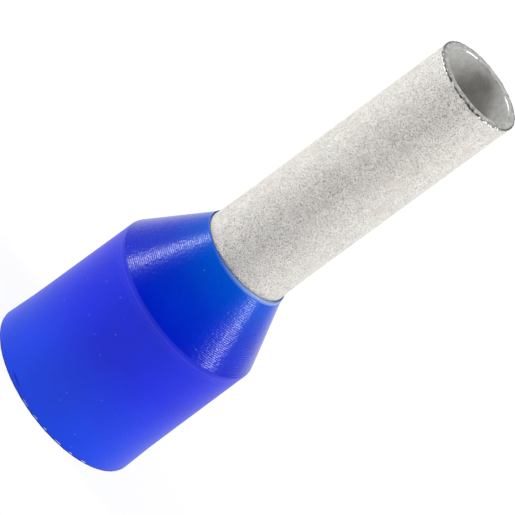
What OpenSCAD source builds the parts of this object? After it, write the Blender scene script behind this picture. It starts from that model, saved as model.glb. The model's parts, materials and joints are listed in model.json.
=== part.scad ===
// Insulated wire ferrule for a 2.5 square millimetre conductor.
// A plastic collar is seated on the flared end of a tin-plated copper sleeve.
// The axis is Z. The origin is the centre of the collar's open end, and the bare sleeve points up.

/* [Sleeve] */
// Inside diameter of the metal sleeve, where the stripped strands go
sleeve_bore_d = 2.2; // [1.4:0.1:3.2]
// Wall thickness of the metal sleeve
sleeve_wall = 0.21; // [0.12:0.01:0.3]
// Length of bare sleeve in front of the collar
sleeve_reach = 7.76; // [5:0.1:18]
// Length of sleeve held inside the collar
sleeve_hold = 1.34; // [0.9:0.05:1.7]
// How far the sleeve's inner end is flared, on the radius
flare = 0.3; // [0.1:0.02:0.4]
// Length of bare sleeve over which the flare runs out
flare_run_out = 1.4; // [0.3:0.1:2.5]
// Rounding of the outer edge at the cut end
rim_round = 0.04; // [0.01:0.01:0.08]

/* [Collar] */
// Inside diameter of the collar, where the wire's insulation goes
entry_d = 4.2; // [3.8:0.1:6]
// Wall thickness of the collar at its shoulder
collar_wall = 0.285; // [0.2:0.01:0.6]
// Length of the collar from its open end to its shoulder
body_length = 4.26; // [3.4:0.1:9]
// Length of the cone from the shoulder to the neck
cone_length = 1.98; // [1.7:0.05:4]
// How much wider the body gets from its shoulder to the flare, on the radius
body_draft = 0.035; // [0:0.005:0.1]
// How much wider the flare at the open end gets, on the radius
mouth_flare = 0.035; // [0:0.005:0.1]
// Length of the flare at the open end
mouth_flare_length = 0.9; // [0.3:0.1:1.5]
// How far below the shoulder the entry bore ends and the funnel starts
funnel_drop = 0.3; // [0.2:0.05:0.8]
// Lead-in at the open end, on the radius
lead_in = 0.08; // [0.02:0.01:0.15]
// Thickness of the lip round the sleeve at the neck
neck_lip = 0.03; // [0.02:0.01:0.2]
// Rounding of the shoulder between body and cone
shoulder_round = 0.3; // [0.05:0.05:0.8]
// Gap between the collar's seat and the sleeve
seat_gap = 0.01; // [0:0.005:0.03]

/* [Hidden] */
$fn = 128;

entry_r = entry_d / 2;
shoulder_r = entry_r + collar_wall;
body_r = shoulder_r + body_draft;
mouth_r = body_r + mouth_flare;
neck_z = body_length + cone_length;

// The flare opens slowly at first and faster towards its end
flare_power = 3.4;
flare_steps = 8;
sleeve_r = sleeve_bore_d / 2 + sleeve_wall;
bell_z = neck_z - sleeve_hold;
flare_top_z = neck_z + flare_run_out;
sleeve_end_z = neck_z + sleeve_reach;
neck_r = sleeve_out(neck_z) + seat_gap + neck_lip;

funnel_z = body_length - funnel_drop;
edge_break = 0.03;
neck_round = neck_lip * 0.7;
bell_break = sleeve_wall * 0.25;
corner_steps = 5;

// Radius of the sleeve's outside at a height, which the collar's seat follows
function sleeve_out(z) =
    z >= flare_top_z ? sleeve_r
    : sleeve_r + flare * pow((flare_top_z - z) / (flare_top_z - bell_z), flare_power);

function unit(v) = v / norm(v);

// Points of the arc that rounds the corner b between a and c
function rounded(a, b, c, r) =
    let (
        to_a = unit(a - b),
        to_c = unit(c - b),
        half = acos(to_a * to_c) / 2,
        centre = b + unit(to_a + to_c) * r / sin(half),
        first = b + to_a * r / tan(half) - centre,
        last = b + to_c * r / tan(half) - centre,
        start = atan2(first.y, first.x),
        turn = (atan2(last.y, last.x) - start + 540) % 360 - 180
    )
    [for (i = [0:corner_steps]) let (t = start + turn * i / corner_steps) centre + r * [cos(t), sin(t)]];

// Points along the flare, in even steps from one height to another, at an offset from its outside
function flare_profile(from, to, offset, first_step) =
    [for (i = [first_step:flare_steps])
        let (z = from + (to - from) * i / flare_steps) [sleeve_out(z) + offset, z]];

// The stretch inside the collar, from the bell mouth up to the neck
function held_profile(offset) = flare_profile(bell_z + bell_break, neck_z, offset, 0);

// The stretch in front of the collar, from the neck up to the plain tube
function run_out_profile(offset) = flare_profile(neck_z, flare_top_z, offset, 1);

function reversed(list) = [for (i = [len(list) - 1:-1:0]) list[i]];

// Tin-plated copper sleeve: a plain tube with a flared inner end
module sleeve() {
    rim_out = [sleeve_r, sleeve_end_z];
    rim_in = [sleeve_bore_d / 2, sleeve_end_z];
    bell_out = [sleeve_out(bell_z + bell_break), bell_z];
    bell_in = bell_out - [sleeve_wall, 0];
    color("silver")
        rotate_extrude()
            polygon(concat(
                held_profile(0),
                run_out_profile(0),
                rounded([sleeve_r, flare_top_z], rim_out, rim_in, rim_round),
                rounded(rim_out, rim_in, [rim_in.x, flare_top_z], rim_round / 2),
                reversed(run_out_profile(-sleeve_wall)),
                reversed(held_profile(-sleeve_wall)),
                [bell_in + [bell_break, 0], bell_out - [bell_break, 0]]
            ));
}

// Moulded plastic collar: entry tube, funnel and cone in one piece
module collar() {
    mouth_out = [mouth_r, 0];
    mouth_in = [entry_r + lead_in, 0];
    flare_top = [body_r, mouth_flare_length];
    shoulder = [shoulder_r, body_length];
    neck_out = [neck_r, neck_z];
    neck_in = [neck_r - neck_lip, neck_z];
    seat = reversed(held_profile(seat_gap));
    funnel_foot = [entry_r, funnel_z];
    lead_in_top = [entry_r, mouth_flare_length];
    color("royalblue")
        rotate_extrude()
            polygon(concat(
                rounded(mouth_in, mouth_out, flare_top, edge_break),
                [flare_top],
                rounded(flare_top, shoulder, neck_out, shoulder_round),
                rounded(shoulder, neck_out, neck_in, neck_round),
                seat,
                rounded(seat[flare_steps], funnel_foot, lead_in_top, shoulder_round),
                [lead_in_top],
                rounded(lead_in_top, mouth_in, mouth_out, edge_break)
            ));
}

sleeve();
collar();
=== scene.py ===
import json
import math
import random

import bpy
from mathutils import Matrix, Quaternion, Vector


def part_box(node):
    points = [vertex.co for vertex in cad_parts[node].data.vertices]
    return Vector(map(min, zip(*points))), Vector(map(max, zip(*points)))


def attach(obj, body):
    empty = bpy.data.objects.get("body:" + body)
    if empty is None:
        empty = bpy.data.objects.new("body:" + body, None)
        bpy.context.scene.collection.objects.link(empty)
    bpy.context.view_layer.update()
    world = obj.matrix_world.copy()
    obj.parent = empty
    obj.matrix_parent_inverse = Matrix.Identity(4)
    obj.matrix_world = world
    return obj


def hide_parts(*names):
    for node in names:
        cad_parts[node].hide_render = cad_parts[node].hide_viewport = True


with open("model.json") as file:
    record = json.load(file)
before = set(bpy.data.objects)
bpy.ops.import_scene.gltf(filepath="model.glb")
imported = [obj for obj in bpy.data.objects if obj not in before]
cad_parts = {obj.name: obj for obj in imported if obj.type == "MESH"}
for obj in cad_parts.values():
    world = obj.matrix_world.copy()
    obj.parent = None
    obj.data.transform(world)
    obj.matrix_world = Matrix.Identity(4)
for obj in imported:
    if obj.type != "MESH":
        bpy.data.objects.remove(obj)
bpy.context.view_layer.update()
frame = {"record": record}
print("frame loaded")

mm = 0.001
mountRadius = {m["name"]: m["dims"].get("r_mm", 0) * mm for m in frame["record"]["mounts"]}
tubeRadius = mountRadius["contact_pin"]
boreRadius = mountRadius["conductor_bore"]
entryRadius = mountRadius["wire_entry"]
sleeveLow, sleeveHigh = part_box("sleeve")
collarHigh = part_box("collar")[1]
bellHeight = sleeveLow.z
bellRadius = sleeveHigh.x
tubeEnd = sleeveHigh.z
mouthRadius = collarHigh.x
neckHeight = collarHigh.z

flareRunOut = 1.4 * mm  # bare sleeve over which the flare dies out
flareTop = neckHeight + flareRunOut
flarePower = 3.4  # a high power flares late and steeply


def clearSelection():
    if bpy.context.object and bpy.context.object.mode != "OBJECT":
        bpy.ops.object.mode_set(mode="OBJECT")
    bpy.ops.object.select_all(action="DESELECT")


def between(start, end, share):
    return start + (end - start) * share


def arcPoints(centre, radius, startAngle, endAngle, steps):
    points = []
    for i in range(steps + 1):
        angle = math.radians(between(startAngle, endAngle, i / steps))
        points.append((centre[0] + radius * math.cos(angle), centre[1] + radius * math.sin(angle)))
    return points


def linePoints(start, end, steps):  # leaves out the start, so that stretches can follow each other
    points = []
    for i in range(1, steps + 1):
        share = i / steps
        points.append((between(start[0], end[0], share), between(start[1], end[1], share)))
    return points


def flareRadius(height):  # outside of the sleeve where it opens towards its bell mouth
    if height >= flareTop:
        return tubeRadius
    share = (flareTop - height) / (flareTop - bellHeight)
    return between(tubeRadius, bellRadius, share ** flarePower)


def spinProfile(name, points, segments):  # points are a closed outline of radius and height
    clearSelection()
    bpy.ops.mesh.primitive_plane_add(size=0.2 * mm)
    piece = bpy.context.object
    piece.name = piece.data.name = name
    bpy.ops.object.mode_set(mode="EDIT")
    bpy.ops.mesh.merge(type="CENTER")
    bpy.ops.transform.translate(value=(points[0][0], 0, points[0][1]))
    for before, after in zip(points, points[1:] + points[:1]):
        move = (after[0] - before[0], 0, after[1] - before[1])
        bpy.ops.mesh.extrude_vertices_move(TRANSFORM_OT_translate={"value": move})
    bpy.ops.mesh.select_all(action="SELECT")
    bpy.ops.mesh.spin(steps=segments, angle=math.tau, center=(0, 0, 0), axis=(0, 0, 1))
    bpy.ops.mesh.select_all(action="SELECT")
    bpy.ops.mesh.remove_doubles(threshold=1e-7)
    bpy.ops.mesh.normals_make_consistent(inside=False)
    bpy.ops.object.mode_set(mode="OBJECT")
    bpy.ops.object.shade_smooth()
    return piece


def weighVertices(piece, groupName, weightOf):  # weightOf gives 0 to 1 for a vertex's place
    group = piece.vertex_groups.new(name=groupName)
    for vertex in piece.data.vertices:
        weight = weightOf(vertex.co)
        if weight > 0:
            group.add([vertex.index], weight, "REPLACE")


def displace(piece, groupName, strength, direction, midLevel, texture=None):
    clearSelection()
    piece.select_set(True)
    bpy.context.view_layer.objects.active = piece
    push = piece.modifiers.new("push", "DISPLACE")
    if texture:
        push.texture = texture
        push.texture_coords = "LOCAL"
    push.vertex_group = groupName
    push.direction = direction
    push.strength = strength
    push.mid_level = midLevel
    bpy.ops.object.modifier_apply(modifier=push.name)


def roughen(piece, groupName, grain, strength, direction):
    cloud = bpy.data.textures.new(groupName + direction, "CLOUDS")
    cloud.noise_scale = grain
    cloud.noise_depth = 2
    displace(piece, groupName, strength, direction, 0.5, cloud)


def nudge(piece, groupName, strength):  # an even push along the normals, by the group's weights
    displace(piece, groupName, strength, "NORMAL", 0)


def shadeVertices(piece, attributeName, shadeOf):  # marks each vertex from 0 to 1 for the material
    shade = piece.data.attributes.new(attributeName, "FLOAT", "POINT")
    for vertex in piece.data.vertices:
        shade.data[vertex.index].value = shadeOf(vertex.co)


def axisDistance(place):
    return math.hypot(place.x, place.y)


def facing(place, degrees):  # 1 on the side at that angle round the axis, 0 from a quarter turn on
    return max(0, math.cos(math.atan2(place.y, place.x) - math.radians(degrees)))


def placeOnRadius(radius, degrees, height):
    angle = math.radians(degrees)
    return (radius * math.cos(angle), radius * math.sin(angle), height)


def addPebble(name, place, size, degrees):  # a small rounded lump that lies along the rim at that angle
    turn = math.pi / 2 - math.radians(degrees)
    clearSelection()
    bpy.ops.mesh.primitive_uv_sphere_add(segments=20, ring_count=12, radius=1, location=place)
    pebble = bpy.context.object
    pebble.name = pebble.data.name = name
    bpy.ops.transform.resize(value=size)
    bpy.ops.transform.rotate(value=turn, orient_axis="Z", center_override=place)
    bpy.ops.object.transform_apply(location=True, rotation=True, scale=True)
    bpy.ops.object.shade_smooth()
    return pebble


# Sleeve: tin-plated copper tube, flared where the collar holds it, with a rough cut end

sleeveLook = {
    "segments": 480,
    "flareSteps": 12,
    "rimDepth": 0.05 * mm,  # how far down the cut metal shows
    "burrHeight": 0.08 * mm,  # how far below the cut end the burr reaches
    "burrLip": 0.006 * mm,  # how far the burr stands out of the tube
    "burrGroove": 0.022 * mm,
    "rimRound": 0.02 * mm,
    "innerRound": 0.045 * mm,
    "burrSide": -90,  # side with the heaviest burr, in degrees round the axis
    "burrBehind": 0.25,  # how much of the burr is left on the far side
    "burrWave": (0.12 * mm, 0.15 * mm),  # size and height of the burr's ups and downs
    "burrCrumble": (0.06 * mm, 0.045 * mm),
    "rimGrain": (0.03 * mm, 0.008 * mm),
    "cutShade": 0.2,  # how dark the painted shade makes the cut face, from 0 to 1
    "rimShade": (0.9, 0.4),  # on the far side and on the burr's side
    "grooveShade": (0.6, 1.0),
    "seed": 3,
    "flakeDrift": 0.3,  # share of the space between flakes
    "flakeScatter": 0.012 * mm,  # up and down
    "flakeSwell": (0.7, 1.2),
    "flakeFlatness": 0.6,
    "flakes": [  # rows of flakes: first and last angle, how many, length, thickness, drop below the end
        (-150, -121, 7, 0.15 * mm, 0.022 * mm, 0.070 * mm),
        (-112, -72, 4, 0.09 * mm, 0.010 * mm, 0.060 * mm),
        (-62, -62, 1, 0.075 * mm, 0.040 * mm, 0.040 * mm),
        (-55, -41, 4, 0.13 * mm, 0.022 * mm, 0.050 * mm),
        (-36, -33, 2, 0.05 * mm, 0.026 * mm, 0.020 * mm),
    ],
}


def buildSleeve(look):
    wall = tubeRadius - boreRadius
    burrFoot = tubeEnd - look["burrHeight"]
    rim = look["rimRound"]
    inner = look["innerRound"]
    groove = look["burrGroove"]
    lip = look["burrLip"]
    flareStep = (flareTop - bellHeight) / look["flareSteps"]
    heights = [bellHeight + flareStep * i for i in range(look["flareSteps"] + 1)]
    points = [(flareRadius(h), h) for h in heights]
    points += linePoints(points[-1], (tubeRadius, burrFoot - 0.05 * mm), steps=12)
    points += [
        (tubeRadius, burrFoot - 0.02 * mm),
        (tubeRadius, burrFoot),
        (tubeRadius + lip * 0.5, burrFoot + 0.012 * mm),
        (tubeRadius + lip, burrFoot + 0.022 * mm),
        (tubeRadius - groove * 0.6, burrFoot + 0.030 * mm),
        (tubeRadius - groove, burrFoot + 0.037 * mm),
        (tubeRadius - groove, burrFoot + 0.044 * mm),
        (tubeRadius - groove * 0.4, burrFoot + 0.052 * mm),
    ]
    points += arcPoints((tubeRadius - rim, tubeEnd - rim), rim, 10, 90, steps=5)
    points += linePoints(points[-1], (boreRadius + inner, tubeEnd), steps=6)
    points += arcPoints((boreRadius + inner, tubeEnd - inner), inner, 100, 180, steps=7)
    points += linePoints(points[-1], (boreRadius, flareTop), steps=14)
    points += [(flareRadius(h) - wall, h) for h in reversed(heights[:-1])]
    piece = spinProfile("ferruleSleeve", points, look["segments"])

    burrStart = burrFoot + 0.005 * mm
    innerEdge = boreRadius + 0.08 * mm  # the burr leaves the bore's edge alone
    shadeEdge = tubeRadius - 0.045 * mm
    shadeFoot = burrFoot + 0.026 * mm
    grooveTop = burrFoot + 0.054 * mm
    cutFace = tubeEnd - 0.5 * rim
    cutEdge = tubeRadius - 1.3 * rim

    def burrWeight(place):
        if place.z < burrStart or axisDistance(place) < innerEdge:
            return 0
        return between(look["burrBehind"], 1, facing(place, look["burrSide"]))

    def burrShade(place):  # painted shade: darkest in the groove, where the burr's shadow falls, lighter on the rim's edge and palest on the cut face
        nearness = facing(place, look["burrSide"])
        radius = axisDistance(place)
        if radius < shadeEdge or place.z < shadeFoot:
            return 0
        if place.z > cutFace and radius < cutEdge:
            return look["cutShade"]
        if place.z > grooveTop:
            return between(*look["rimShade"], nearness)
        return between(*look["grooveShade"], nearness)

    # marks the painted shade of the burr's groove, the rim's edge and the cut face
    shadeVertices(piece, "paintedCutEndShade", burrShade)
    weighVertices(piece, "burr", burrWeight)
    roughen(piece, "burr", *look["burrWave"], "Z")
    roughen(piece, "burr", *look["burrCrumble"], "NORMAL")
    weighVertices(piece, "rim", lambda place: 1 if place.z > tubeEnd - look["rimDepth"] else 0)
    roughen(piece, "rim", *look["rimGrain"], "NORMAL")
    piece.vertex_groups.clear()
    return piece


def addFlakes(look):
    chance = random.Random(look["seed"])
    drift = look["flakeDrift"]
    flakes = []
    for first, last, count, length, thickness, drop in look["flakes"]:
        step = (last - first) / max(1, count - 1)
        for i in range(count):
            degrees = first + step * (i + chance.uniform(-drift, drift))
            height = tubeEnd - drop + chance.uniform(-1, 1) * look["flakeScatter"]
            swell = chance.uniform(*look["flakeSwell"])
            size = (length * swell / 2, thickness * swell / 2, thickness * look["flakeFlatness"])
            place = placeOnRadius(tubeRadius, degrees, height)
            flakes.append(addPebble("burrFlake%d" % len(flakes), place, size, degrees))
    return flakes


def joinPieces(target, *others):
    clearSelection()
    for piece in others:
        piece.select_set(True)
    target.select_set(True)
    bpy.context.view_layer.objects.active = target
    bpy.ops.object.join()


# Collar: one plastic moulding with an entry tube, a cone with fine turning rings and a thin lip

collarLook = {
    "segments": 256,
    "bodyLength": 4.26 * mm,
    "bodyDraft": 0.035 * mm,  # how much wider the body gets below its shoulder, on the radius
    "mouthFlare": 0.035 * mm,
    "mouthFlareLength": 0.9 * mm,
    "funnelDrop": 0.3 * mm,
    "leadIn": 0.08 * mm,
    "neckLip": 0.026 * mm,
    "seatGap": 0.012 * mm,
    "neckGap": 0.019 * mm,  # wider at the lip, where it shows as a dark line
    "lipSide": -35,  # side where the lip is thickest and its painted highlight strongest, in degrees round the axis
    "lipSwell": 0.030 * mm,
    "lipFalloff": 1.5,  # a higher power keeps the swelling and the painted highlight nearer to its side
    "mouthRound": 0.018 * mm,
    "flash": [  # thin seams of flash along the mouth: angle, length, thickness, height
        (-98, 0.24 * mm, 0.009 * mm, 0.052 * mm),
        (-88, 0.16 * mm, 0.010 * mm, 0.050 * mm),
        (-79, 0.12 * mm, 0.013 * mm, 0.052 * mm),
        (-68, 0.22 * mm, 0.014 * mm, 0.050 * mm),
        (-57, 0.12 * mm, 0.016 * mm, 0.048 * mm),
        (-46, 0.16 * mm, 0.016 * mm, 0.045 * mm),
    ],
    "mouthGrain": (0.10 * mm, 0.016 * mm),  # size and height of the mouth's unevenness
    "nickSide": -113,
    "nickHeight": 0.15 * mm,
    "nickDepth": 0.022 * mm,
    "nickSize": (0.26 * mm, 0.035 * mm),  # half its length and half its width
    "nickTilt": -0.07,
    "shoulderRound": 0.17 * mm,
    "ringPitch": 0.0465 * mm,
    "ringDepth": 0.0034 * mm,
    "ringSpread": (0.85, 1.15),  # how much the rings' depths vary
    # Each ring is a long slow cut and a short step back: share of the pitch, share of the depth
    "ringShape": ((0.12, 0.17), (0.58, 0.83), (0.7, 1), (0.85, 0.5), (1, 0)),
    "shoulderPitch": 0.08 * mm,
    "shoulderDepth": 0.004 * mm,
    "shoulderCuts": (0.6, 0.8, 1.0),  # share of that depth for each groove, from below
    "shoulderShape": ((0.3, 0), (0.5, 1), (0.7, 1), (0.9, 0)),
    "seed": 7,
}


def buildCollar(look):
    chance = random.Random(look["seed"])
    bodyRadius = mouthRadius - look["mouthFlare"]
    shoulder = (bodyRadius - look["bodyDraft"], look["bodyLength"])
    neckInner = flareRadius(neckHeight) + look["neckGap"]
    neckOuter = neckInner + look["neckLip"]
    edge = look["mouthRound"]
    points = [(entryRadius + look["leadIn"] + edge, 0)]
    points += linePoints(points[-1], (mouthRadius - edge, 0), steps=4)
    points += arcPoints((mouthRadius - edge, edge), edge, -75, 0, steps=5)
    points += linePoints(points[-1], (bodyRadius, look["mouthFlareLength"]), steps=30)

    plainEdge = 0.06 * mm  # between the last shoulder groove and the shoulder
    grooveStart = shoulder[1] - plainEdge - len(look["shoulderCuts"]) * look["shoulderPitch"]
    startRadius = shoulder[0] + 0.001 * mm  # the body's draft runs on to the shoulder
    grooveRadius = shoulder[0] + 0.0005 * mm
    points += linePoints(points[-1], (startRadius, grooveStart), steps=20)
    for i, deepness in enumerate(look["shoulderCuts"]):
        foot = grooveStart + i * look["shoulderPitch"]
        depth = look["shoulderDepth"] * deepness
        for share, cut in look["shoulderShape"]:
            height = foot + share * look["shoulderPitch"]
            points.append((grooveRadius - cut * depth, height))

    coneAngle = math.atan2(shoulder[0] - neckOuter, neckHeight - shoulder[1])
    bend = look["shoulderRound"]
    reach = bend * math.tan(coneAngle / 2)
    centre = (shoulder[0] - bend, shoulder[1] - reach)
    points += arcPoints(centre, bend, 0, math.degrees(coneAngle), steps=5)[1:]
    coneFoot = points[-1]
    coneTop = (neckOuter, neckHeight - 0.035 * mm)  # the lip's own edge stands above it
    slant = math.hypot(coneTop[0] - coneFoot[0], coneTop[1] - coneFoot[1])
    ringCount = round(slant * math.cos(coneAngle) / look["ringPitch"])
    for i in range(ringCount):
        depth = look["ringDepth"] * chance.uniform(*look["ringSpread"])
        for step, cut in look["ringShape"]:
            share = (i + step) / ringCount
            radius = between(coneFoot[0], coneTop[0], share)
            height = between(coneFoot[1], coneTop[1], share)
            sunk = cut * depth
            points.append((radius - sunk * math.cos(coneAngle), height - sunk * math.sin(coneAngle)))
    lip = look["neckLip"] / 2
    points += arcPoints((neckInner + lip, neckHeight - lip), lip, 20, 170, steps=8)
    points.append((neckInner, neckHeight - 0.05 * mm))

    lipFoot = neckHeight - 0.09 * mm  # the seat follows the sleeve's flare from there to its foot
    seatFoot = bellHeight + 0.05 * mm
    seatSteps = 10
    for i in range(seatSteps + 1):
        height = between(lipFoot, seatFoot, i / seatSteps)
        points.append((flareRadius(height) + look["seatGap"], height))
    funnelFoot = (entryRadius, look["bodyLength"] - look["funnelDrop"])
    points += linePoints(points[-1], funnelFoot, steps=6)
    points += linePoints(points[-1], (entryRadius, look["mouthFlareLength"]), steps=8)
    points += linePoints(points[-1], (entryRadius + look["leadIn"], edge), steps=6)
    piece = spinProfile("ferruleCollar", points, look["segments"])

    skin = 0.05 * mm  # what lies deeper than this under the outside stays as it is
    mouthReach = 0.08 * mm
    nickReach = 0.5  # radians either way, which leaves the far side out
    lipSkin = neckInner + 0.25 * look["neckLip"]
    lipRise = 0.06 * mm  # over which the lip swells to its full thickness

    def mouthWeight(place):
        if place.z > mouthReach or axisDistance(place) < mouthRadius - skin:
            return 0
        return 1 - place.z / mouthReach

    def nickWeight(place):  # an oval, slightly tilted
        turn = math.atan2(place.y, place.x) - math.radians(look["nickSide"])
        if abs(turn) > nickReach or axisDistance(place) < bodyRadius - skin:
            return 0
        run = turn * bodyRadius
        along = run / look["nickSize"][0]
        across = (place.z - look["nickHeight"] - look["nickTilt"] * run) / look["nickSize"][1]
        return max(0, 1 - along * along - across * across)

    def lipWeight(place):
        if axisDistance(place) < lipSkin:
            return 0
        rise = min(1, max(0, (place.z - lipFoot) / lipRise))
        return rise * facing(place, look["lipSide"]) ** look["lipFalloff"]

    # marks the painted highlight and light through the thin lip, strongest on one side
    shadeVertices(piece, "paintedHighlight", lipWeight)
    # marks the painted shade inside the nick
    shadeVertices(piece, "paintedNickShade", nickWeight)
    weighVertices(piece, "mouth", mouthWeight)
    roughen(piece, "mouth", *look["mouthGrain"], "NORMAL")
    weighVertices(piece, "nick", nickWeight)
    nudge(piece, "nick", -look["nickDepth"])
    weighVertices(piece, "lip", lipWeight)
    nudge(piece, "lip", look["lipSwell"])
    piece.vertex_groups.clear()
    return piece


def addFlash(look):
    seams = []
    for degrees, length, thickness, height in look["flash"]:
        size = (length / 2, thickness / 2, thickness / 2)
        place = placeOnRadius(mouthRadius, degrees, height)
        seam = addPebble("mouthFlash%d" % len(seams), place, size, degrees)
        # painted highlight over the whole flash seam
        shadeVertices(seam, "paintedHighlight", lambda place: 1)
        seams.append(seam)
    return seams


# Materials

def newMaterial(name):
    material = bpy.data.materials.new(name)
    material.use_nodes = True
    tree = material.node_tree
    tree.nodes.clear()
    output = tree.nodes.new("ShaderNodeOutputMaterial")
    return material, tree, output


def addNode(tree, kind, settings=None, values=None):
    node = tree.nodes.new(kind)
    for key, value in (settings or {}).items():
        setattr(node, key, value)
    for key, value in (values or {}).items():
        node.inputs[key].default_value = value
    return node


def addRamp(tree, source, stops, interpolation="EASE"):
    ramp = tree.nodes.new("ShaderNodeValToRGB")
    ramp.color_ramp.interpolation = interpolation
    marks = ramp.color_ramp.elements
    while len(marks) < len(stops):
        marks.new(0.5)
    for mark, (position, colour) in zip(marks, stops):
        mark.position = position
        mark.color = colour if len(colour) == 4 else (*colour, 1)
    tree.links.new(source, ramp.inputs["Fac"])
    return ramp


def addNoise(tree, place, scale, detail, roughness=0.5):
    values = {"Scale": scale, "Detail": detail, "Roughness": roughness}
    noise = addNode(tree, "ShaderNodeTexNoise", None, values)
    tree.links.new(place, noise.inputs["Vector"])
    return noise.outputs["Fac"]


def addTurnTo(tree, colour, share, other):  # turns from one colour to the other by the share
    mix = addNode(tree, "ShaderNodeMix", {"data_type": "RGBA"}, {"B": (*other, 1)})
    tree.links.new(share, mix.inputs["Factor"])
    tree.links.new(colour, mix.inputs["A"])
    return mix.outputs["Result"]


def addMarked(tree, colour, attributeName, marked):  # turns to the marked colour where vertices say so
    share = addNode(tree, "ShaderNodeAttribute", {"attribute_name": attributeName})
    return addTurnTo(tree, colour, share.outputs["Fac"], marked)


def addClouding(tree, colour, noise, darkest, lightest):  # lets the noise darken and lighten the colour
    shade = addNode(tree, "ShaderNodeMapRange", None, {
        "From Min": 0.3,  # most of the noise lies between these two
        "From Max": 0.7,
        "To Min": darkest,
        "To Max": lightest,
    })
    tree.links.new(noise, shade.inputs["Value"])
    mix = addNode(tree, "ShaderNodeMix", {"data_type": "RGBA", "blend_type": "MULTIPLY"}, {"Factor": 1.0})
    tree.links.new(colour, mix.inputs["A"])
    tree.links.new(shade.outputs["Result"], mix.inputs["B"])
    return mix.outputs["Result"]


def addBump(tree, height, shader, strength, distance):
    bump = addNode(tree, "ShaderNodeBump", None, {"Strength": strength, "Distance": distance})
    tree.links.new(height, bump.inputs["Height"])
    tree.links.new(bump.outputs["Normal"], shader.inputs["Normal"])


def grey(value):
    return (value, value, value)


plasticLook = {
    "heightStops": [  # share of the collar's height, and the colour there
        # painted shadow: a dark line along the mouth's edge, where it stands on the floor
        (0.0, (0.000, 0.005, 0.16)),
        (0.0035, (0.000, 0.005, 0.16)),
        (0.0055, (0.000, 0.052, 0.72)),
        (0.18, (0.000, 0.039, 0.69)),
        (0.45, (0.000, 0.014, 0.65)),
        (0.636, (0.000, 0.014, 0.64)),
        # painted highlights: three paler lines on the shoulder grooves
        (0.639, (0.020, 0.034, 0.68)),
        (0.642, (0.000, 0.012, 0.62)),
        (0.648, (0.000, 0.012, 0.62)),
        (0.651, (0.028, 0.040, 0.68)),
        (0.654, (0.000, 0.012, 0.62)),
        (0.661, (0.000, 0.012, 0.62)),
        (0.664, (0.034, 0.046, 0.68)),
        (0.667, (0.000, 0.013, 0.63)),
        (0.686, (0.000, 0.013, 0.55)),
        (0.84, (0.000, 0.032, 0.56)),
        (0.97, (0.000, 0.075, 0.60)),
        (0.9945, (0.000, 0.091, 0.60)),
    ],
    "highlightAndSpeckColour": (0.22, 0.33, 0.68),  # painted highlight on the thin lip and the flash seams, and the colour of the specks
    # painted shade inside the nick
    "nickShadeColour": (0.0, 0.012, 0.40),
    "mottleScale": 900.0,
    "mottleRange": (0.94, 1.05),
    "speckSpacing": 0.38 * mm,
    "speckStops": [(0.03, (0.28, 0.28, 0.28)), (0.08, (0, 0, 0))],
    "shoulderTurn": (0.675, 0.69),  # share of the height where the cone's finish takes over
    "bodyRoughness": 0.42,
    "coneRoughness": 0.22,
    "ior": 1.5,
    "shine": 0.33,  # specular level
    "grainScale": 11500.0,
    "grainStrength": 0.8,
    "grainDepth": 0.010 * mm,
    "bodyGrain": 0.6,  # depth of the fine grain on the body, next to the cone's
}


def makePlastic(look):
    material, tree, output = newMaterial("satinBluePlastic")
    shader = addNode(tree, "ShaderNodeBsdfPrincipled", None, {
        "IOR": look["ior"],
        "Specular IOR Level": look["shine"],
    })
    place = addNode(tree, "ShaderNodeTexCoord").outputs["Object"]
    split = addNode(tree, "ShaderNodeSeparateXYZ")
    tree.links.new(place, split.inputs[0])
    rise = addNode(tree, "ShaderNodeMapRange", {"clamp": True}, {"From Min": 0.0, "From Max": neckHeight})
    tree.links.new(split.outputs["Z"], rise.inputs["Value"])
    height = rise.outputs["Result"]

    def bodyToCone(onBody, onCone):  # one value on the body, another on the cone
        bodyEnd, coneStart = look["shoulderTurn"]
        stops = [(0.0, grey(onBody)), (bodyEnd, grey(onBody)), (coneStart, grey(onCone))]
        return addRamp(tree, height, stops, "LINEAR").outputs["Color"]

    colour = addRamp(tree, height, look["heightStops"], "LINEAR").outputs["Color"]
    mottle = addNoise(tree, place, look["mottleScale"], detail=3.0, roughness=0.6)
    colour = addClouding(tree, colour, mottle, *look["mottleRange"])
    # painted highlight on the lip's one side and on the flash seams
    colour = addMarked(tree, colour, "paintedHighlight", look["highlightAndSpeckColour"])
    # painted shade inside the nick
    colour = addMarked(tree, colour, "paintedNickShade", look["nickShadeColour"])
    dust = addNode(tree, "ShaderNodeTexVoronoi", None, {"Scale": 1 / look["speckSpacing"]})
    tree.links.new(place, dust.inputs["Vector"])
    speck = addRamp(tree, dust.outputs["Distance"], look["speckStops"])
    colour = addTurnTo(tree, colour, speck.outputs["Color"], look["highlightAndSpeckColour"])
    tree.links.new(colour, shader.inputs["Base Color"])

    roughness = bodyToCone(look["bodyRoughness"], look["coneRoughness"])
    tree.links.new(roughness, shader.inputs["Roughness"])

    # The grain is centred on 0, so that its change of depth at the shoulder makes no step
    level = addNode(tree, "ShaderNodeMath", {"operation": "SUBTRACT"}, {1: 0.5})
    tree.links.new(addNoise(tree, place, look["grainScale"], detail=2.0), level.inputs[0])
    graded = addNode(tree, "ShaderNodeMath", {"operation": "MULTIPLY"})
    tree.links.new(level.outputs[0], graded.inputs[0])
    tree.links.new(bodyToCone(look["bodyGrain"], 1), graded.inputs[1])
    addBump(tree, graded.outputs[0], shader, look["grainStrength"], look["grainDepth"])
    tree.links.new(shader.outputs["BSDF"], output.inputs["Surface"])
    return material


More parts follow.
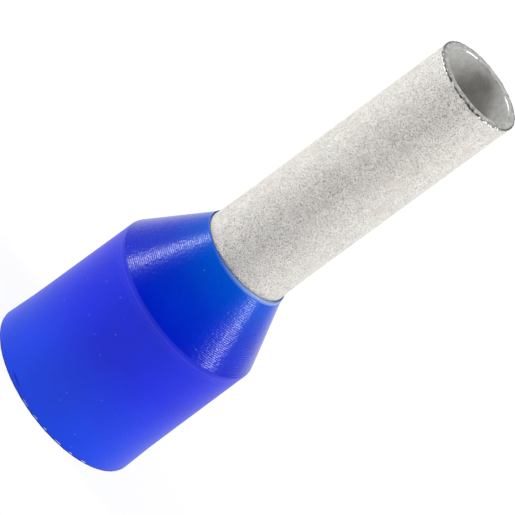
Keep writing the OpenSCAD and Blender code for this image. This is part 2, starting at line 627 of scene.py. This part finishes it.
platingLook = {
    "light": (0.885, 0.855, 0.81),
    "dark": (0.22, 0.207, 0.187),
    "toneTurn": (0.33, 0.52),  # noise values between which dark specks turn to light metal
    "fleck": (0.74, 0.66, 0.61),  # warmer patches
    "fleckScale": 2400.0,
    "fleckStops": [(0.52, (0, 0, 0)), (0.75, (0.5, 0.5, 0.5))],
    "cloudScale": 4200.0,
    "cloudRange": (0.90, 1.06),
    # colour of the painted shadow and shade at the cut end
    "paintedShadowTone": (0.05, 0.048, 0.045),
    "metallic": 0.9,
    "roughness": 0.5,
    "grainSize": 0.024 * mm,
    "grainStrength": 1.0,
    "grainDepth": 0.028 * mm,
}

bareGrainScale = 6000.0
bareMetalLooks = {  # spread is how far the tone strays from the colour
    "smoothTinBore": {"colour": (0.72, 0.71, 0.69), "metallic": 0.3, "roughness": 0.45, "spread": 0.1},
    "cutMetal": {"colour": (0.74, 0.73, 0.71), "metallic": 0.55, "roughness": 0.3, "spread": 0.25},
    "brightFlake": {"colour": (0.88, 0.87, 0.85), "metallic": 1.0, "roughness": 0.22, "spread": 0.1},
}


def makePlating(look):
    material, tree, output = newMaterial("mattTinPlating")
    shader = addNode(tree, "ShaderNodeBsdfPrincipled", None, {
        "Metallic": look["metallic"],
        "Roughness": look["roughness"],
    })
    place = addNode(tree, "ShaderNodeTexCoord").outputs["Object"]
    speckle = addNoise(tree, place, 1 / look["grainSize"], detail=2.0, roughness=0.6)
    darkEnd, lightStart = look["toneTurn"]
    tone = addRamp(tree, speckle, [(darkEnd, look["dark"]), (lightStart, look["light"])])
    amount = addRamp(tree, addNoise(tree, place, look["fleckScale"], detail=2.0), look["fleckStops"])
    colour = addTurnTo(tree, tone.outputs["Color"], amount.outputs["Color"], look["fleck"])
    clouds = addNoise(tree, place, look["cloudScale"], detail=4.0, roughness=0.6)
    colour = addClouding(tree, colour, clouds, *look["cloudRange"])
    # painted shadow under the burr and painted shade along the cut end
    colour = addMarked(tree, colour, "paintedCutEndShade", look["paintedShadowTone"])
    tree.links.new(colour, shader.inputs["Base Color"])
    addBump(tree, speckle, shader, look["grainStrength"], look["grainDepth"])
    tree.links.new(shader.outputs["BSDF"], output.inputs["Surface"])
    return material


def makeBareMetal(name, look):
    material, tree, output = newMaterial(name)
    shader = addNode(tree, "ShaderNodeBsdfPrincipled", None, {
        "Metallic": look["metallic"],
        "Roughness": look["roughness"],
    })
    place = addNode(tree, "ShaderNodeTexCoord").outputs["Object"]
    darker = tuple(c * (1 - look["spread"]) for c in look["colour"])
    lighter = tuple(min(1, c * (1 + look["spread"])) for c in look["colour"])
    grain = addNoise(tree, place, bareGrainScale, detail=5.0, roughness=0.7)
    tone = addRamp(tree, grain, [(0.35, darker), (0.65, lighter)])
    # painted shadow under the burr and painted shade along the cut end
    colour = addMarked(tree, tone.outputs["Color"], "paintedCutEndShade", platingLook["paintedShadowTone"])
    tree.links.new(colour, shader.inputs["Base Color"])
    tree.links.new(shader.outputs["BSDF"], output.inputs["Surface"])
    return material


def paintFaces(piece, slotIndex, chosen):  # chosen says whether a face gets that slot
    for face in piece.data.polygons:
        if chosen(face):
            face.material_index = slotIndex


# Build

sleeve = buildSleeve(sleeveLook)
flakes = addFlakes(sleeveLook)
print("sleeve built")
collar = buildCollar(collarLook)
seams = addFlash(collarLook)
print("collar built")

metals = [makePlating(platingLook)]
for metalName, metalLook in bareMetalLooks.items():
    metals.append(makeBareMetal(metalName, metalLook))
boreSlot, cutSlot, flakeSlot = range(1, len(metals))  # the plating has the first slot
for piece in (sleeve, *flakes):
    piece.data.materials.clear()
    for metal in metals:
        piece.data.materials.append(metal)


def onRim(face):
    return face.center.z > tubeEnd - sleeveLook["rimDepth"]


def insideSleeve(face):
    towardsAxis = face.normal.x * face.center.x + face.normal.y * face.center.y < 0
    atBellMouth = face.normal.z <= -0.9
    return towardsAxis and not atBellMouth and not onRim(face)


paintFaces(sleeve, boreSlot, insideSleeve)
paintFaces(sleeve, cutSlot, onRim)
for flake in flakes:
    paintFaces(flake, flakeSlot, lambda face: True)
joinPieces(sleeve, *flakes)
collar.data.materials.clear()
for seam in seams:
    seam.data.materials.clear()
collar.data.materials.append(makePlastic(plasticLook))
joinPieces(collar, *seams)

for piece, node, slotName in ((sleeve, "sleeve", "tinned_copper"), (collar, "collar", "blue_plastic")):
    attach(piece, "root")
    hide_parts(node)
print("materials on")


# Studio: a pale floor, soft lamps on both sides and in front, and a dim surround

studioLook = {
    "floorSize": 2.0,
    "floorColour": (0.8, 0.8, 0.8, 1),
    "shadowColour": (0.18, 0.18, 0.18, 1),  # what lamps add to the floor's white, so shadows still show
    "floorGlow": 0.87,
    "surround": 0.40,
    "darkSide": (0.0, -0.91, 0.41),  # the dim room behind the camera
    "darkReach": (0.42, 0.62),  # cosines of the angles where the dim room starts and is darkest
    "aim": (0, 0, 0.007),
    "panels": [  # place, width, height, brightness, colour, whether reflections show it
        ((-0.13, -0.011, 0.060), 0.019, 0.012, 52.0, (0.92, 0.98, 1.0), True),
        ((0.13, -0.003, 0.060), 0.025, 0.012, 32.0, (0.92, 0.98, 1.0), True),
        ((0.10, -0.005, 0.09), 0.045, 0.045, 14.5, (1.0, 1.0, 1.0), True),
        ((-0.10, 0.01, 0.08), 0.045, 0.045, 8.3, (1.0, 1.0, 1.0), True),
        ((0.14, -0.03, 0.012), 0.05, 0.02, 2.0, (1.0, 1.0, 1.0), True),
        ((-0.14, -0.03, 0.012), 0.05, 0.02, 6.0, (1.0, 1.0, 1.0), True),
        ((0.0, -0.35, 0.03), 0.30, 0.05, 12.0, (1.0, 1.0, 1.0), False),
    ],
}


def addPanel(aim, place, width, height, brightness, colour, reflected):
    lamp = bpy.data.lights.new("softPanel", "AREA")
    lamp.shape = "RECTANGLE"
    lamp.size = width
    lamp.size_y = height
    lamp.energy = brightness * math.pi * width * height
    lamp.color = colour
    panel = bpy.data.objects.new("softPanel", lamp)
    panel.location = place
    panel.visible_glossy = reflected
    direction = Vector(aim) - Vector(place)
    panel.rotation_euler = direction.to_track_quat("-Z", "Y").to_euler()
    bpy.context.scene.collection.objects.link(panel)


def addSeenRay(tree):  # 1 for rays that show the surroundings, straight or in a reflection
    path = addNode(tree, "ShaderNodeLightPath")
    seen = path.outputs["Is Camera Ray"]
    for name in ("Is Glossy Ray", "Is Transmission Ray"):
        either = addNode(tree, "ShaderNodeMath", {"operation": "MAXIMUM"})
        tree.links.new(seen, either.inputs[0])
        tree.links.new(path.outputs[name], either.inputs[1])
        seen = either.outputs[0]
    return seen


def makeFloor(look):
    clearSelection()
    bpy.ops.mesh.primitive_plane_add(size=look["floorSize"])
    floor = bpy.context.object
    floor.name = "floor"
    material, tree, output = newMaterial("paleFloor")
    matt = addNode(tree, "ShaderNodeBsdfDiffuse", None, {"Color": look["floorColour"]})
    dim = addNode(tree, "ShaderNodeBsdfDiffuse", None, {"Color": look["shadowColour"]})
    glow = addNode(tree, "ShaderNodeEmission", None, {"Color": (1, 1, 1, 1), "Strength": look["floorGlow"]})
    seen = addNode(tree, "ShaderNodeAddShader")
    tree.links.new(dim.outputs[0], seen.inputs[0])
    tree.links.new(glow.outputs[0], seen.inputs[1])
    choice = addNode(tree, "ShaderNodeMixShader")
    tree.links.new(addSeenRay(tree), choice.inputs[0])
    tree.links.new(matt.outputs[0], choice.inputs[1])
    tree.links.new(seen.outputs[0], choice.inputs[2])
    tree.links.new(choice.outputs[0], output.inputs["Surface"])
    material.cycles.emission_sampling = "NONE"  # reflections then show the glow in full
    floor.data.materials.append(material)


def makeSurround(look):
    world = bpy.data.worlds.new("surround")
    bpy.context.scene.world = world
    world.use_nodes = True
    tree = world.node_tree
    tree.nodes.clear()
    output = tree.nodes.new("ShaderNodeOutputWorld")
    direction = addNode(tree, "ShaderNodeTexCoord")
    towardsDark = addNode(tree, "ShaderNodeVectorMath", {"operation": "DOT_PRODUCT"})
    towardsDark.inputs[1].default_value = look["darkSide"]
    tree.links.new(direction.outputs["Generated"], towardsDark.inputs[0])
    fall = addNode(tree, "ShaderNodeMapRange", {"interpolation_type": "SMOOTHSTEP"}, {
        "From Min": look["darkReach"][0],
        "From Max": look["darkReach"][1],
        "To Min": look["surround"],
        "To Max": 0.0,
    })
    tree.links.new(towardsDark.outputs["Value"], fall.inputs["Value"])
    light = addNode(tree, "ShaderNodeBackground", None, {"Color": (1, 1, 1, 1)})
    tree.links.new(fall.outputs["Result"], light.inputs["Strength"])
    tree.links.new(light.outputs[0], output.inputs["Surface"])


cameraLook = {
    "sensor": 36,
    "lens": 474.5,
    "place": (0, -0.15404, 0.07664),
    "aim": (0.00017, 0, 0.006445),
    "roll": 53.64,  # degrees, which lays the ferrule across the picture
}


def addCamera(look):
    camera = bpy.data.cameras.new("camera")
    camera.sensor_width = look["sensor"]
    camera.lens = look["lens"]
    camera.clip_start = 0.01
    camera.clip_end = 10
    holder = bpy.data.objects.new("camera", camera)
    holder.location = look["place"]
    direction = Vector(look["aim"]) - holder.location
    roll = Quaternion((0, 0, 1), math.radians(look["roll"]))
    holder.rotation_mode = "QUATERNION"
    holder.rotation_quaternion = direction.to_track_quat("-Z", "Y") @ roll
    bpy.context.scene.collection.objects.link(holder)
    bpy.context.scene.camera = holder


makeFloor(studioLook)
makeSurround(studioLook)
for panelValues in studioLook["panels"]:
    addPanel(studioLook["aim"], *panelValues)
addCamera(cameraLook)
bpy.context.scene.view_settings.view_transform = "Standard"
print("studio ready")
